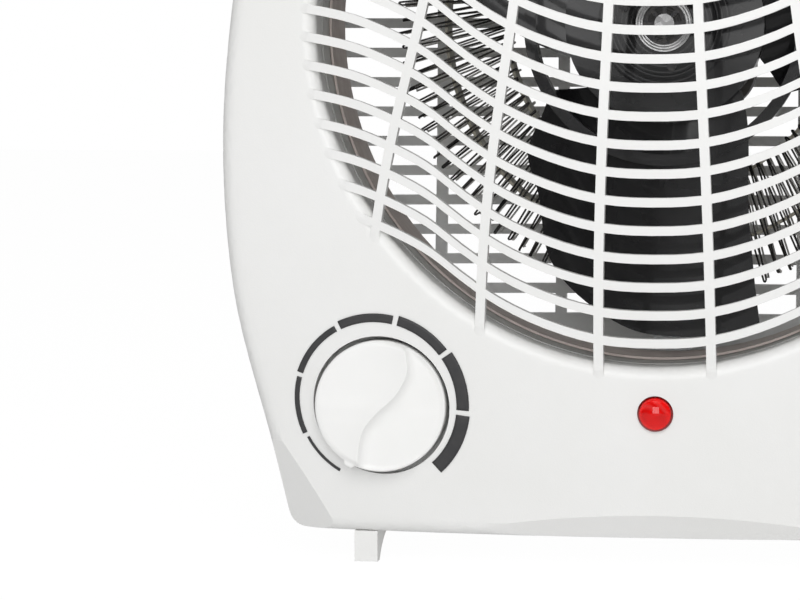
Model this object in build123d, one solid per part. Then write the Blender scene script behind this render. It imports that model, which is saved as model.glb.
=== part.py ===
from build123d import *
import os
from math import asin, cos, degrees, pi, radians, sin, sqrt, tan

# Upright fan heater. The front faces -Y, the viewer's right is +X and up is +Z.
# Every depth is counted backwards from the crown of the grille. All lengths are in millimetres.

# Body
body_width = 223.0
body_top = 252.0
body_depth = 118.0
foot_height = 8.0
front_depth = 46.0
wall = 2.4
corner_radius = 4.5
seam_step = 0.5
fan_height = 138.7
side_shares = (
    (0.868, 0.0), (0.892, 0.073), (0.913, 0.116), (0.937, 0.159), (0.960, 0.202), (0.978, 0.244),
    (0.991, 0.294), (1.0, 0.372), (0.996, 0.456), (0.973, 0.560), (0.922, 0.690), (0.815, 0.814),
    (0.620, 0.920), (0.335, 0.982), (0.0, 1.0),
)
side_lean_share = 0.15

# Front panel: a pillow, rounder in plan than in the upright direction
panel_setback = 3.0
panel_plan_radius = 440.0
panel_side_radius = 470.0
front_rim_radius = 5.0
chin_height = 6.4
chin_lean_deg = 41.0
fold_width = 14.0
fold_height = 30.0
fold_turn_deg = 38.0

# Round opening with its collar
opening_radius = 86.0
collar_wall = 2.4
lip_round = 3.0
collar_back = 22.0

# Grille: bars that all hang in the same wave, crossed by six ribs
grille_plan_radius = 340.0
grille_side_radius = 360.0
grille_depth = 3.2
bar_bite_share = 0.8
bar_pitch = 7.09
bar_height = 2.3
lowest_bar = 58.8
bar_drop = 33.0
bar_half_span = 83.0
bar_wave_shares = (
    (0.0, 0.0), (0.151, 0.022), (0.301, 0.117), (0.452, 0.281), (0.602, 0.532), (0.678, 0.678),
    (0.753, 0.784), (0.828, 0.869), (0.904, 0.941), (1.0, 1.0), (1.12, 1.05),
)
rib_width = 2.4
rib_places = (11.2, 35.3, 58.8)
rib_spread_shares = (
    (-1.2, 1.27), (-1.0, 1.26), (-0.6, 1.20), (-0.3, 1.11), (0.0, 1.0), (0.5, 0.87), (1.2, 0.74),
)

# Rear housing
rear_plan_radius = 330.0
rear_side_radius = 420.0
rear_rim_radius = 6.0
slot_height = 5.4
slot_pitch = 8.1
slot_bar_width = 3.0
slot_bar_pitch = 33.0
slots_low = 59.7
slots_high = 218.7
slots_margin = 15.0
grip_width = 64.0
grip_height = 15.0
grip_depth = 28.0
grip_low = 225.0

# Fastening of the two housings
boss_radius = 4.5
pilot_radius = 1.3
housing_screw_places = ((52.0, 20.0), (58.0, 222.0))
screw_radius = 1.6
screw_head_radius = 3.1
screw_head_height = 2.0
screw_clearance = 0.15
head_well_depth = 10.0
screw_bite = 11.0

# Two long feet with an arch between their pads
foot_place = 75.9
foot_width = 6.0
foot_inset = 2.0
foot_top_length = 20.0
foot_pad_length = 4.0
foot_strip = 1.6

# Air duct
shield_sheet = 0.8
shield_length = 32.5
shield_gap = 1.5
flange_width = 5.0
ear_reach = 13.0
ear_width = 13.0
ear_angles = (90.0, 210.0, 330.0)
duct_screw_circle = 95.0
duct_boss_radius = 4.0
sleeve_sheet = 0.6
sleeve_length = 22.5
sleeve_clearance = 0.2

# Impeller
tip_radius = 81.2
hub_front = 39.6
hub_radius = 25.5
hub_sheet = 1.6
hub_ring_radius = 36.6
hub_ring_wall = 3.0
hub_ring_front = 43.6
hub_ring_length = 6.0
blade_sheet = 1.2
blade_camber_radius = 140.0
blade_pitch_deg = 10.0
blade_depth_at_axis = 46.4
blade_count = 3
blade_bisector_deg = 258.0
trailing_shares = (
    (0.36, 55.0), (0.436, 61.0), (0.52, 53.0), (0.612, 47.6), (0.67, 39.0), (0.833, 27.0),
    (0.90, 19.5), (0.935, 14.0), (0.97, 8.0), (0.99, 1.0),
)
leading_shares = (
    (1.0, -17.6), (0.88, -19.0), (0.686, -23.0), (0.60, -26.0), (0.505, -31.5), (0.43, -37.5),
    (0.26, -56.0),
)
blade_outline_turn_deg = 12.0
rivet_circle = 11.2
rivet_radius = 1.1
rivet_turn_deg = 160.0
rivet_head = 0.7
hub_ridge_radii = (9.0, 12.8)
hub_ridge_width = 0.7
hub_ridge_height = 0.5
bushing_radius = 7.2
bushing_wall = 1.7
bushing_proud = 1.8
star_washer_sheet = 0.4
star_teeth = 8
star_tooth_width = 1.0
star_clearance = 0.03

# Motor
shaft_radius = 2.5
shaft_proud = 1.0
shaft_tail = 3.0
shaft_fit = 0.05
motor_front = 49.0
end_plate_sheet = 2.0
end_plate_radius = 23.5
spacer_length = 4.5
spacer_radius = 3.0
core_length = 13.0
core_side = 45.0
core_corner = 11.0
rotor_radius = 14.6
air_gap = 0.5
coil_width = 5.5
coil_height = 19.0
coil_overhang = 3.2
coil_clearance = 0.3
coil_rounding = 2.0
bearing_radius = 4.4
bearing_length = 5.0
bearing_cap_radius = 8.0
motor_screw_circle = 20.0
motor_screw_radius = 1.5
motor_screw_turn_deg = 45.0

# Bracket that carries the motor and the heating element
bracket_sheet = 1.5
bracket_arm_width = 10.0
bracket_arm_angles = (30.0, 150.0, 270.0)
bracket_foot_turn_deg = 12.0
bracket_foot_circle = 95.0
bracket_foot_width = 13.0
bracket_post_radius = 4.0

# Heating element
wire_radius = 0.4
wire_bend = 1.0
wire_inner_radius = 44.0
wire_outer_radius = 76.0
wires_per_sector = 16
sector_margin_deg = 3.0
element_front = 62.0
layer_spacing = 11.0
mica_sheet = 0.8
mica_inner_radius = 43.6
mica_mid_radius = 59.6
mica_seat = 0.3
board_inner_radius = 41.4
board_outer_radius = 79.0
board_proud = 1.6
mica_slot_clearance = 0.1
gap_steps = 10

# Dials in round wells
dial_place = 70.3
dial_height = 41.6
dial_radius = 17.15
dial_face = 17.0
dial_thickness = 8.6
dial_well_gap = 0.8
dial_well_floor = 27.2
dial_edge_round = 0.7
ridge_height = 1.4
ridge_width = 2.6
ridge_step_shares = ((1.0, 0.5), (0.55, 1.0))
ridge_shares = (
    (0.38, 0.86), (0.42, 0.65), (0.41, 0.47), (0.34, 0.32), (0.12, 0.04),
    (-0.13, -0.20), (-0.29, -0.48), (-0.32, -0.64), (-0.34, -0.89),
)
spindle_radius = 3.0
spindle_flat = 0.8
spindle_bite = 6.0
spindle_fit = 0.04
spindle_hole_gap = 0.6
switch_radius = 13.0
switch_depth = 14.0
switch_neck_radius = 4.6
switch_seat = 1.0
selector_width = 27.0
selector_height = 24.0
selector_depth = 16.0
tab_width = 6.3
tab_sheet = 0.8
tab_length = 8.0
tab_spacing = 8.0

# Pilot lamp
lamp_height = 40.9
lamp_radius = 4.5
lamp_bore_gap = 0.05
lamp_dome_height = 2.6
lamp_wall = 0.8
lamp_length = 12.0
lamp_flange_radius = 6.4
lamp_flange_sheet = 1.2
bulb_radius = 2.2
bulb_length = 8.0
lamp_holder_length = 7.0

# Safety and wiring pieces
cutout_radius = 7.0
cutout_height = 5.0
cutout_foot = 1.0
cutout_width = 20.0
cutout_angle_deg = 60.0
cutout_seat = 0.3
fuse_radius = 2.2
fuse_length = 13.0
fuse_angle_deg = 120.0
block_width = 30.0
block_height = 12.0
block_depth = 18.0
block_place = 26.0
block_ways = 3
block_screw_radius = 2.0
gland_place = 78.0
gland_height = 24.0
gland_radius = 6.5
gland_bore = 3.3
gland_flange_radius = 9.0
gland_flange = 2.0
gland_inner_length = 8.0

overrun = 2.0

crown_y = -body_depth / 2
collar_radius = opening_radius + collar_wall
shield_front = collar_back + shield_gap
shield_back = shield_front + shield_length
core_front = motor_front + end_plate_sheet + spacer_length
core_back = core_front + core_length
rear_plate_front = core_back + spacer_length
bracket_front = rear_plate_front + end_plate_sheet
element_back = element_front + layer_spacing


def at(depth):
    """Y of a plane that lies this far behind the crown of the grille."""
    return crown_y + depth


def front_plane(depth, x=0.0, z=0.0):
    """Upright plane that faces the viewer, with its own Y axis upwards."""
    return Plane(origin=(x, at(depth), z), x_dir=(1, 0, 0), z_dir=(0, -1, 0))


def prism(face, front, back, x=0.0, z=0.0):
    return extrude(front_plane(back, x, z) * face, amount=back - front)


def rod(radius, front, back, x=0.0, z=fan_height):
    return prism(Circle(radius), front, back, x, z)


def tube(outer, inner, front, back, x=0.0, z=fan_height):
    return prism(Circle(outer) - Circle(inner), front, back, x, z)


def block(x_low, x_high, front, back, z_low, z_high):
    face = Pos((x_low + x_high) / 2, (z_low + z_high) / 2) * Rectangle(x_high - x_low, z_high - z_low)
    return prism(face, front, back)


def around(radius, angle):
    """Place on a circle round the fan axis, with the angle counted from +X towards +Z."""
    return radius * cos(radians(angle)), fan_height + radius * sin(radians(angle))


def about_axis(part, angle):
    """Turn a piece about the fan axis, anticlockwise as the viewer sees it."""
    return part.rotate(Axis((0, 0, fan_height), (0, -1, 0)), angle)


def outline(inset=0.0):
    """Front view of the body: a spline on each side, small rounded corners and a flat bottom."""
    half = body_width / 2 - inset
    low = foot_height + inset
    tall = body_top - inset - low
    side = [(half * across, low + tall * up) for across, up in side_shares]
    lean = (side_lean_share, 1)
    start = (side[0][0] - corner_radius, low)
    flank_start = (side[0][0] + side_lean_share * corner_radius, low + corner_radius)
    upper = [point for point in side if point[1] > flank_start[1]]
    bottom = Line((0, low), start)
    corner = Spline(start, flank_start, tangents=((1, 0), lean))
    flank = Spline(flank_start, *upper, tangents=(lean, (-1, 0)))
    right = [bottom, corner, flank]
    return make_face(right + [mirror(edge, Plane.YZ) for edge in right])


def pillow(tip, plan_radius, side_radius, back):
    """Solid behind a surface that curves by one radius in plan and by another upwards."""
    half = body_width / 2 + overrun * 2
    reach = max(body_top - fan_height, fan_height) + overrun * 2
    sag = plan_radius - sqrt(plan_radius ** 2 - half ** 2)
    bow = ThreePointArc((-half, at(tip + sag)), (0, at(tip)), (half, at(tip + sag)))
    rest = Polyline((half, at(tip + sag)), (half, at(back)), (-half, at(back)), (-half, at(tip + sag)))
    section = Plane.XY.offset(fan_height) * make_face([bow, rest])
    axis = Axis((0, at(tip) + side_radius, fan_height), (1, 0, 0))
    turn = degrees(asin(reach / (side_radius - back + tip)))
    return revolve(section.rotate(axis, -turn), axis=axis, revolution_arc=2 * turn)


def panel_depth(x, z):
    """Depth of the front panel at a place in the front view."""
    plan = panel_plan_radius - sqrt(panel_plan_radius ** 2 - x ** 2)
    side = panel_side_radius - plan
    return panel_setback + plan + side - sqrt(side ** 2 - (z - fan_height) ** 2)


def front_block(inset):
    """Front half as a solid, drawn in by the wall for the hollow."""
    back = front_depth + overrun * 2
    shape = pillow(panel_setback + inset, panel_plan_radius - inset, panel_side_radius - inset, back)
    return shape & prism(outline(inset), 0.0, front_depth + (overrun if inset else 0.0))


def front_body():
    """Front half with its rounded rim."""
    body = front_block(0.0)
    rim = [edge for edge in body.edges() if edge.bounding_box().max.Y < at(front_depth) - overrun / 2]
    return fillet(rim, front_rim_radius)


def chin_cut(inset=0.0):
    """Space in front of a flat that leans back under the panel and runs out at both sides."""
    low = foot_height
    top = low + chin_height
    depth = panel_depth(0, top) + inset / cos(radians(chin_lean_deg))
    run = chin_height + overrun
    back = depth + run * tan(radians(chin_lean_deg))
    rise = depth / tan(radians(chin_lean_deg))
    section = Polyline((at(0), top + rise), (at(back), low - overrun), (at(0), low - overrun), close=True)
    face = Plane.YZ * make_face(section)
    return extrude(face, amount=body_width / 2, both=True)


def fold_cut(side, inset=0.0):
    """Space in front of a flat that turns the low corner of the panel towards the side."""
    edge = body_width / 2 * side_shares[0][0]
    top = foot_height + fold_height
    reach = body_width / 2 * side_shares[2][0]
    low = Vector(side * (edge - fold_width), at(panel_depth(edge - fold_width, foot_height)), foot_height)
    high = Vector(side * reach, at(panel_depth(reach, top)), top)
    turned = panel_depth(edge - fold_width, foot_height) + fold_width * tan(radians(fold_turn_deg))
    out = Vector(side * edge, at(turned), foot_height)
    normal = (high - low).cross(out - low).normalized()
    normal = normal if normal.Y < 0 else normal * -1
    size = body_width
    box = Box(size, size, size, align=(Align.CENTER, Align.CENTER, Align.MIN))
    return Plane(origin=low - normal * inset, z_dir=normal) * box


def bar_face(middle):
    """One bar in the front view: the same wave, moved up or down."""
    low = [(bar_half_span * u, middle - bar_height / 2 + bar_drop * rise) for u, rise in bar_wave_shares]
    low = [(-x, z) for x, z in reversed(low[1:])] + low
    high = [(x, z + bar_height) for x, z in low]
    ends = [Line(low[0], high[0]), Line(low[-1], high[-1])]
    return make_face([Spline(*low), Spline(*high)] + ends)


def strip(middle, width):
    """Flat band of even width along a smooth line, each side square to the run of its points."""
    left = []
    right = []
    last = len(middle) - 1
    for number, (across, up) in enumerate(middle):
        before = middle[max(number - 1, 0)]
        after = middle[min(number + 1, last)]
        along = Vector(after[0] - before[0], after[1] - before[1]).normalized() * (width / 2)
        left.append((across - along.Y, up + along.X))
        right.append((across + along.Y, up - along.X))
    ends = [Line(left[0], right[0]), Line(left[-1], right[-1])]
    return make_face([Spline(*left), Spline(*right)] + ends)


def rib_face(place):
    """One upright rib, spreading towards the bottom."""
    middle = [(place * spread, fan_height + opening_radius * up) for up, spread in rib_spread_shares]
    return strip(middle, rib_width)


def grille():
    """Bars and ribs cut from a crowned sheet, with their ends set in the collar."""
    disc = Pos(0, fan_height) * Circle(opening_radius + collar_wall * bar_bite_share)
    rows = int((fan_height + opening_radius - lowest_bar) / bar_pitch) + 1
    bars = [bar_face(lowest_bar + bar_pitch * row) for row in range(rows)]
    ribs = [rib_face(side * place) for place in rib_places for side in (-1, 1)]
    flat = Sketch() + bars
    flat += ribs
    flat &= disc
    depth = front_depth - overrun
    slab = pillow(0.0, grille_plan_radius, grille_side_radius, depth + overrun)
    inner_plan = grille_plan_radius - grille_depth
    inner_side = grille_side_radius - grille_depth
    slab -= pillow(grille_depth, inner_plan, inner_side, depth + overrun * 2)
    return prism(flat, -overrun, depth) & slab


def opened(solid):
    """The opening cut into the front half, with its front edge rolled over."""
    cut = solid - rod(opening_radius, -overrun, front_depth)
    lip = []
    for edge in cut.edges():
        box = edge.bounding_box()
        if abs(box.size.X - 2 * opening_radius) < wall and box.max.Y < at(front_depth) - overrun:
            lip.append(edge)
    return fillet(lip, lip_round)


def front_housing():
    solid = front_body() - chin_cut()
    for side in (-1, 1):
        solid -= fold_cut(side)
    solid = opened(solid)
    hollow = front_block(wall) - chin_cut(wall)
    for side in (-1, 1):
        hollow -= fold_cut(side, wall)
    shell = solid - hollow
    for side in (-1, 1):
        x = side * dial_place
        cup = dial_radius + dial_well_gap + wall
        shell += rod(cup, 0.0, dial_well_floor + wall, x, dial_height) & solid
        for across, up in housing_screw_places:
            shell += rod(boss_radius, 0.0, front_depth, side * across, up) & solid
    for angle in ear_angles:
        x, z = around(duct_screw_circle, angle)
        shell += rod(duct_boss_radius, 0.0, shield_front, x, z) & solid
    shell += rod(collar_radius, 0.0, collar_back) & solid
    for side in (-1, 1):
        x = side * dial_place
        shell -= rod(dial_radius + dial_well_gap, -overrun, dial_well_floor, x, dial_height)
        shell -= rod(spindle_radius + spindle_hole_gap, 0.0, front_depth, x, dial_height)
        for across, up in housing_screw_places:
            shell -= rod(pilot_radius, front_depth - screw_bite, front_depth + overrun, side * across, up)
    for angle in ear_angles:
        x, z = around(duct_screw_circle, angle)
        shell -= rod(pilot_radius, shield_front - screw_bite / 2, shield_front + overrun, x, z)
    shell -= rod(lamp_radius + lamp_bore_gap, -overrun, front_depth, 0, lamp_height)
    return shell + grille()


def rear_block(inset):
    """Rear half as a solid, drawn in by the wall for the hollow."""
    back = body_depth - front_depth + overrun * 2
    shape = pillow(inset, rear_plan_radius - inset, rear_side_radius - inset, back)
    shape = shape.rotate(Axis((0, 0, 0), (0, 0, 1)), 180)
    return shape & prism(outline(inset), front_depth - (overrun if inset else 0.0), body_depth + overrun)


def intake_slots():
    """Rows of slots over the back, between level bars and upright bars."""
    middle = (slots_low + slots_high) / 2
    tall = slots_high - slots_low
    area = outline(slots_margin) & Pos(0, middle) * Rectangle(body_width, tall)
    bar = slot_pitch - slot_height
    levels = [slots_low + slot_pitch * (row + 1) - bar / 2 for row in range(int(tall / slot_pitch))]
    columns = int(body_width / 2 / slot_bar_pitch)
    bars = [Pos(0, level) * Rectangle(body_width, bar) for level in levels]
    posts = [
        Pos(slot_bar_pitch * column, middle) * Rectangle(slot_bar_width, tall)
        for column in range(-columns, columns + 1)
    ]
    return prism(area - bars - posts, (front_depth + body_depth) / 2, body_depth + overrun)


def bracket_places():
    """The two screws at the end of each bracket arm."""
    turns = (-bracket_foot_turn_deg, bracket_foot_turn_deg)
    return [around(bracket_foot_circle, angle + turn) for angle in bracket_arm_angles for turn in turns]


def rear_housing():
    shape = rear_block(0.0)
    rim = [edge for edge in shape.edges() if edge.bounding_box().min.Y > at(front_depth) + overrun / 2]
    solid = fillet(rim, rear_rim_radius)
    shell = solid - rear_block(wall) - intake_slots()
    shell -= prism(outline() - outline(seam_step), front_depth - overrun, front_depth + seam_step)
    grip_high = grip_low + grip_height
    grip = (-grip_width / 2 - wall, grip_width / 2 + wall, body_depth - grip_depth - wall, body_depth)
    shell += block(*grip, grip_low - wall, grip_high + wall) & solid
    grip = (-grip_width / 2, grip_width / 2, body_depth - grip_depth, body_depth + overrun)
    shell -= block(*grip, grip_low, grip_high)
    for side in (-1, 1):
        for x, z in housing_screw_places:
            shell += rod(boss_radius, front_depth, body_depth, side * x, z) & solid
    for x, z in bracket_places():
        shell += rod(bracket_post_radius, bracket_front + bracket_sheet, body_depth, x, z) & solid
        shell -= rod(pilot_radius, bracket_front, bracket_front + bracket_sheet + screw_bite, x, z)
    hole = screw_radius + screw_clearance
    well = screw_head_radius + screw_clearance * 2
    for side in (-1, 1):
        for x, z in housing_screw_places:
            shell -= rod(hole, front_depth - overrun, body_depth + overrun, side * x, z)
            shell -= rod(well, housing_seat, body_depth + overrun, side * x, z)
    boss = gland_flange_radius + wall
    back = gland_wall_back()
    shell += rod(boss, back - gland_inner_length, back, gland_place, gland_height)
    recess = gland_flange_radius + screw_clearance * 2
    shell -= rod(recess, back, body_depth + overrun, gland_place, gland_height)
    bore = gland_radius + screw_clearance
    return shell - rod(bore, body_depth / 2, body_depth + overrun, gland_place, gland_height)


def screw(seat, length, x, z, head=screw_head_radius, shank=pilot_radius, facing=1):
    """Screw with a rounded pan head, its seat at one depth and its shank away from the head."""
    front, back = (seat, seat + length) if facing > 0 else (seat - length, seat)
    head_front = seat - screw_head_height if facing > 0 else seat
    pan = rod(head, head_front, head_front + screw_head_height, x, z)
    rim = pan.edges().sort_by(Axis.Y)[0 if facing > 0 else -1]
    pan = fillet(rim, screw_head_height / 3)
    slot_floor = head_front + screw_head_height / 2
    slot = block(x - head, x + head, head_front, slot_floor, z - shank / 4, z + shank / 4)
    if facing < 0:
        slot = slot.moved(Location((0, screw_head_height / 2, 0)))
    return pan - slot + rod(shank, front, back, x, z)


def housing_screws():
    """Four screws driven from the back, through the rear pillars into the front ones."""
    length = housing_seat - front_depth + screw_bite - screw_clearance
    places = [(side * x, z) for side in (-1, 1) for x, z in housing_screw_places]
    return Compound([screw(housing_seat, length, x, z, facing=-1) for x, z in places])


def foot(side):
    """Long foot: a thin strip under the body with a pad at each end and an arch between them."""
    front = panel_depth(foot_place, foot_height) + foot_inset
    back = body_depth - foot_inset - rear_rim_radius
    top = foot_height
    strip = foot_height - foot_strip
    left = [(at(front), top), (at(front), 0), (at(front + foot_pad_length), 0)]
    right = [(at(back - foot_pad_length), 0), (at(back), 0), (at(back), top)]
    arch_front = (at(front + foot_top_length), strip)
    arch_back = (at(back - foot_top_length), strip)
    curve_front = TangentArc(arch_front, left[-1], tangent=(-1, 0))
    curve_back = TangentArc(arch_back, right[0], tangent=(1, 0))
    arch = [curve_front, Line(arch_front, arch_back), curve_back]
    edges = [Polyline(*left), *arch, Polyline(*right), Line(left[0], right[-1])]
    face = Plane.YZ.offset(side * foot_place) * make_face(edges)
    return extrude(face, amount=foot_width / 2, both=True)


def duct_shield():
    """Steel sleeve behind the collar, with a flange and three screw ears."""
    inner = opening_radius
    shield = tube(inner + shield_sheet, inner, shield_front, shield_back)
    flange = Circle(inner + flange_width) - Circle(inner)
    for angle in ear_angles:
        ear = Pos(inner + ear_reach / 2, 0) * Rectangle(ear_reach, ear_width)
        ear -= Circle(inner + shield_sheet / 2)
        flange += Rot(0, 0, angle) * ear
    shield += prism(flange, shield_front, shield_front + shield_sheet, 0, fan_height)
    for angle in ear_angles:
        shield -= rod(screw_radius, 0.0, body_depth, *around(duct_screw_circle, angle))
    return shield


def shield_screws():
    seat = shield_front + shield_sheet
    length = screw_bite / 2
    places = [around(duct_screw_circle, angle) for angle in ear_angles]
    return Compound([screw(seat, length, x, z, facing=-1) for x, z in places])


def mica_sleeve():
    outer = opening_radius - sleeve_clearance
    return tube(outer, outer - sleeve_sheet, shield_back - sleeve_length, shield_back)


def polar(share, turn):
    radius = tip_radius * share
    angle = radians(blade_bisector_deg + blade_outline_turn_deg - turn)
    return radius * cos(angle), radius * sin(angle)


def blade_face():
    """Outline of one blade: a wide root, a swept trailing edge and a straighter leading edge."""
    trailing = [polar(share, turn) for share, turn in trailing_shares]
    leading = [polar(share, turn) for share, turn in leading_shares]
    tip_middle = polar(1.0, (trailing_shares[-1][1] + leading_shares[0][1]) / 2)
    tip = ThreePointArc(trailing[-1], tip_middle, leading[0])
    root = Line(leading[-1], trailing[0])
    corner = Line(trailing[0], trailing[1])
    return make_face([corner, Spline(*trailing[1:]), tip, Spline(*leading), root])


def blade():
    """Blade cut from a cambered sheet that leans about the blade's own radius."""
    outer = blade_camber_radius
    sheet = Cylinder(outer, tip_radius * 3) - Cylinder(outer - blade_sheet, tip_radius * 3)
    sheet = Pos(0, 0, -outer) * sheet.rotate(Axis.Y, 90)
    sheet = sheet.rotate(Axis.X, blade_pitch_deg)
    turned = Rot(0, 0, blade_bisector_deg) * sheet
    placed = front_plane(blade_depth_at_axis, 0, fan_height) * turned
    back = blade_depth_at_axis + tip_radius / 3
    return prism(blade_face(), hub_front - overrun * 2, back, 0, fan_height) & placed


def impeller():
    hub_back = hub_ring_front + hub_ring_length
    body = tube(hub_radius, shaft_radius + shaft_fit, hub_front, hub_front + hub_sheet)
    for radius in hub_ridge_radii:
        outer = radius + hub_ridge_width / 2
        body += tube(outer, outer - hub_ridge_width, hub_front - hub_ridge_height, hub_front)
    body += tube(hub_radius, hub_radius - hub_sheet, hub_front, hub_back)
    body += tube(hub_ring_radius, hub_ring_radius - hub_ring_wall, hub_ring_front, hub_back)
    for number in range(blade_count):
        paddle = blade() - rod(hub_radius, hub_front + hub_sheet, body_depth)
        body += about_axis(paddle, number * 360 / blade_count)
    body -= rod(bushing_radius, hub_front - overrun, hub_front + hub_sheet)
    return body


def hub_bushing():
    """Bright bushing in the middle of the hub, pressed on the shaft."""
    front = hub_front - bushing_proud
    back = hub_front + hub_sheet + bushing_proud
    body = tube(bushing_radius, bushing_radius - bushing_wall, front, back)
    return body + tube(bushing_radius, shaft_radius, hub_front + hub_sheet / 2, back)


def star_washer():
    """Toothed retainer that grips the shaft in front of the bushing."""
    outer = bushing_radius - bushing_wall - star_clearance
    ring = Circle(outer) - Circle(outer - star_tooth_width)
    reach = outer - shaft_radius
    tooth = Pos(outer - reach / 2, 0) * Rectangle(reach - star_clearance, star_tooth_width)
    for number in range(star_teeth):
        ring += Rot(0, 0, number * 360 / star_teeth) * tooth
    ring &= Circle(outer) - Circle(shaft_radius + star_clearance)
    back = hub_front + hub_sheet / 2
    return prism(ring, back - star_washer_sheet, back, 0, fan_height)


def hub_rivets():
    turns = [rivet_turn_deg + number * 360 / blade_count for number in range(blade_count)]
    places = [around(rivet_circle, turn) for turn in turns]
    return Compound([rod(rivet_radius, hub_front - rivet_head, hub_front, x, z) for x, z in places])


def motor_shaft():
    back = bracket_front + bracket_sheet + shaft_tail
    return rod(shaft_radius, hub_front - bushing_proud + shaft_proud, back)


def motor_places():
    turns = (motor_screw_turn_deg, motor_screw_turn_deg + 180)
    return [around(motor_screw_circle, turn) for turn in turns]


def end_plate(front):
    plate = tube(end_plate_radius, bearing_radius, front, front + end_plate_sheet)
    hole = motor_screw_radius + screw_clearance
    for x, z in motor_places():
        plate -= rod(hole, front - overrun, front + end_plate_sheet + overrun, x, z)
    return plate


def bearing(middle):
    front = middle - bearing_length / 2
    return tube(bearing_radius, shaft_radius + shaft_fit, front, front + bearing_length)


def bearing_cap(seat, facing):
    """Cup over the bearing, open for the shaft."""
    depth = bearing_length / 2
    front, back = (seat - depth, seat) if facing > 0 else (seat, seat + depth)
    return tube(bearing_cap_radius, bearing_radius, front, back)


def core_outline():
    return RectangleRounded(core_side, core_side, core_corner)


def coil_place():
    return (rotor_radius + air_gap + core_side / 2) / 2


def stator_core():
    """Stack of sheets with a bore for the rotor and a window on each side for a coil."""
    face = core_outline() - Circle(rotor_radius + air_gap)
    core = prism(face, core_front, core_back, 0, fan_height)
    half = coil_width / 2 + coil_clearance
    tall = coil_height / 2 + coil_clearance
    front = core_front - overrun
    for side in (-1, 1):
        x = side * coil_place()
        core -= block(x - half, x + half, front, core_back + overrun, fan_height - tall, fan_height + tall)
    for x, z in motor_places():
        core -= rod(motor_screw_radius + screw_clearance, core_front - overrun, core_back + overrun, x, z)
    return core


def stator_coil(side):
    x = side * coil_place()
    front = core_front - coil_overhang
    back = core_back + coil_overhang
    half = coil_width / 2
    body = block(x - half, x + half, front, back, fan_height - coil_height / 2, fan_height + coil_height / 2)
    return fillet(body.edges().filter_by(Axis.X), coil_rounding)


def rotor():
    return tube(rotor_radius, shaft_radius, core_front, core_back)


def motor_spacers():
    parts = []
    hole = motor_screw_radius + screw_clearance
    for x, z in motor_places():
        for front in (motor_front + end_plate_sheet, core_back):
            parts.append(tube(spacer_radius, hole, front, front + spacer_length, x, z))
    return Compound(parts)


def motor_screws():
    """Two long screws that clamp the motor to its bracket."""
    length = bracket_front + bracket_sheet + screw_head_height - motor_front
    return Compound([screw(motor_front, length, x, z, shank=motor_screw_radius) for x, z in motor_places()])


def motor_bracket():
    """Steel spider behind the motor: a ring, three arms and a wide foot with two holes on each."""
    reach = bracket_foot_circle - end_plate_radius / 2
    arm = Pos(bracket_foot_circle - reach / 2, 0) * Rectangle(reach, bracket_arm_width)
    foot_place_out = bracket_foot_circle * cos(radians(bracket_foot_turn_deg))
    span = 2 * bracket_foot_circle * sin(radians(bracket_foot_turn_deg)) + bracket_foot_width
    end = Pos(foot_place_out, 0) * Rectangle(bracket_foot_width, span)
    face = Circle(end_plate_radius)
    for angle in bracket_arm_angles:
        face += Rot(0, 0, angle) * arm
        face += Rot(0, 0, angle) * end
    face -= Circle(bearing_cap_radius + screw_clearance * 2)
    back = bracket_front + bracket_sheet
    plate = prism(face, bracket_front, back, 0, fan_height)
    for x, z in bracket_places():
        plate -= rod(screw_radius, bracket_front - overrun, back + overrun, x, z)
    for x, z in motor_places():
        plate -= rod(motor_screw_radius + screw_clearance, bracket_front - overrun, back + overrun, x, z)
    return plate


def bracket_screws():
    return Compound([screw(bracket_front, screw_bite, x, z) for x, z in bracket_places()])


def heating_wire(depth, sector):
    """One zigzag wire over a third of the circle, between two mica boards."""
    start = bracket_arm_angles[sector] + sector_margin_deg
    step = (360 / len(bracket_arm_angles) - 2 * sector_margin_deg) / (2 * wires_per_sector)
    points = []
    for number in range(2 * wires_per_sector + 1):
        radius = wire_inner_radius if number % 2 == 0 else wire_outer_radius
        x, z = around(radius, start + step * number)
        points.append((x, at(depth), z))
    path = FilletPolyline(*points, radius=wire_bend)
    first = Vector(*points[1]) - Vector(*points[0])
    length = sum(edge.length for edge in path.edges())
    wire = sweep(Plane(origin=points[0], z_dir=first) * Circle(wire_radius), path=path)
    print("wire", round(wire.volume / (pi * wire_radius ** 2 * length), 4), round(wire_gap(points), 2))
    return wire


def wire_gap(points):
    """Least gap between legs of the zigzag that are not joined, measured on points along them."""
    legs = [(Vector(*first), Vector(*last)) for first, last in zip(points, points[1:])]
    gap = 2 * wire_outer_radius
    for one, other in zip(legs, legs[2:]):
        for step in range(gap_steps + 1):
            spot = one[0] + (one[1] - one[0]) * (step / gap_steps)
            for place in range(gap_steps + 1):
                gap = min(gap, (other[0] + (other[1] - other[0]) * (place / gap_steps) - spot).length)
    return gap - 2 * wire_radius


def mica_ring(radius):
    """Mica hoop between the two layers of wire, slotted from the front for the boards."""
    front = element_front + wire_radius + mica_seat
    back = element_back - wire_radius - mica_seat
    ring = tube(radius, radius - mica_sheet, front, back)
    half = mica_sheet / 2 + mica_slot_clearance
    reach = opening_radius
    for angle in bracket_arm_angles:
        slot = block(0, reach, front - overrun, (front + back) / 2, fan_height - half, fan_height + half)
        ring -= about_axis(slot, angle)
    return ring


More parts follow.
